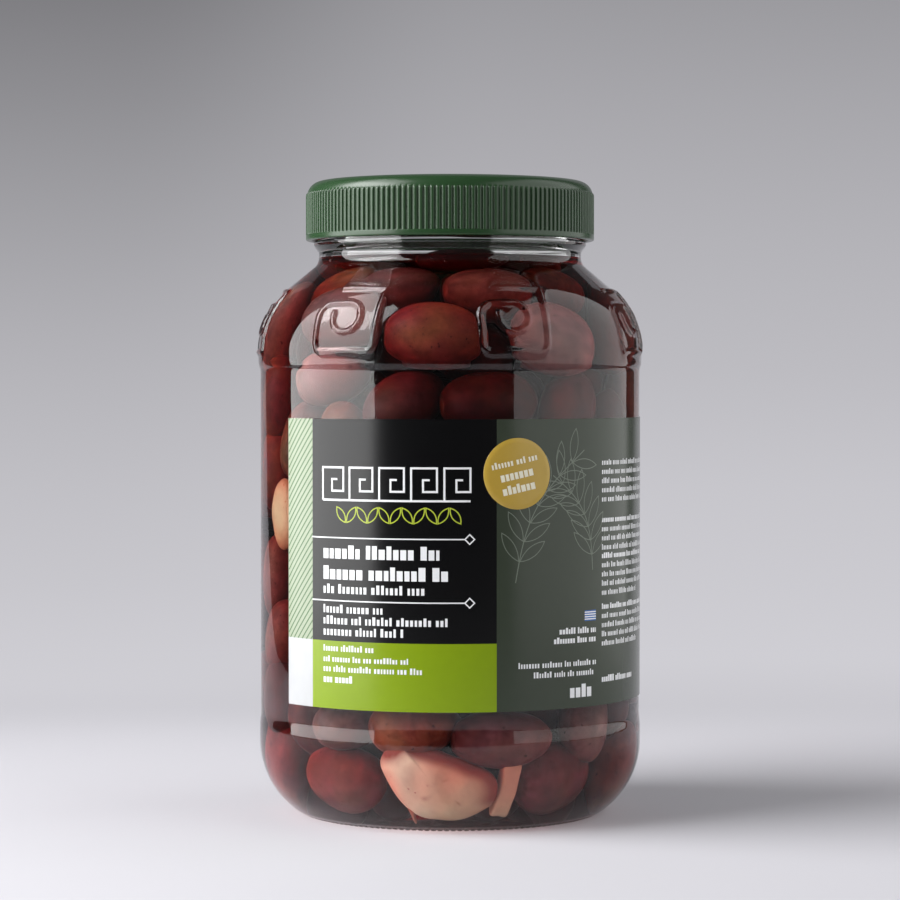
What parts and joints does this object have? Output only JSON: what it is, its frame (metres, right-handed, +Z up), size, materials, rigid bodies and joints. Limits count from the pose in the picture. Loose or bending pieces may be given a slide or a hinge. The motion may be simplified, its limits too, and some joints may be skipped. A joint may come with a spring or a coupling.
{
  "type": "jar of olives",
  "caption": "Wide-mouth glass jar of whole dark olives in brine, with Greek key squares moulded round its shoulder, a ribbed screw lid, a wrap label and a round seal.",
  "frame": {"origin": "centre of the base, on the surface the jar stands on", "axes": "+Z up; the front of the label faces -Y; +X to the right when the front is seen"},
  "size_m": [0.1221, 0.1221, 0.1992],
  "materials": {
    "glass": "clear moulded soda-lime glass, smooth, faintly green where it is thick",
    "lid_plastic": "moulded dark green polypropylene, satin gloss",
    "olives": "wet, smooth skins, dark red to brown, in red-brown brine",
    "label_film": "printed self-adhesive film, satin: black, grey-green, lime and hatched cream fields",
    "seal_foil": "matt gold paper sticker"
  },
  "bodies": {
    "root": {"jar": "glass", "lid": "lid_plastic", "olives_in_brine": "olives", "label": "label_film", "round_seal": "seal_foil"}
  },
  "joints": []
}
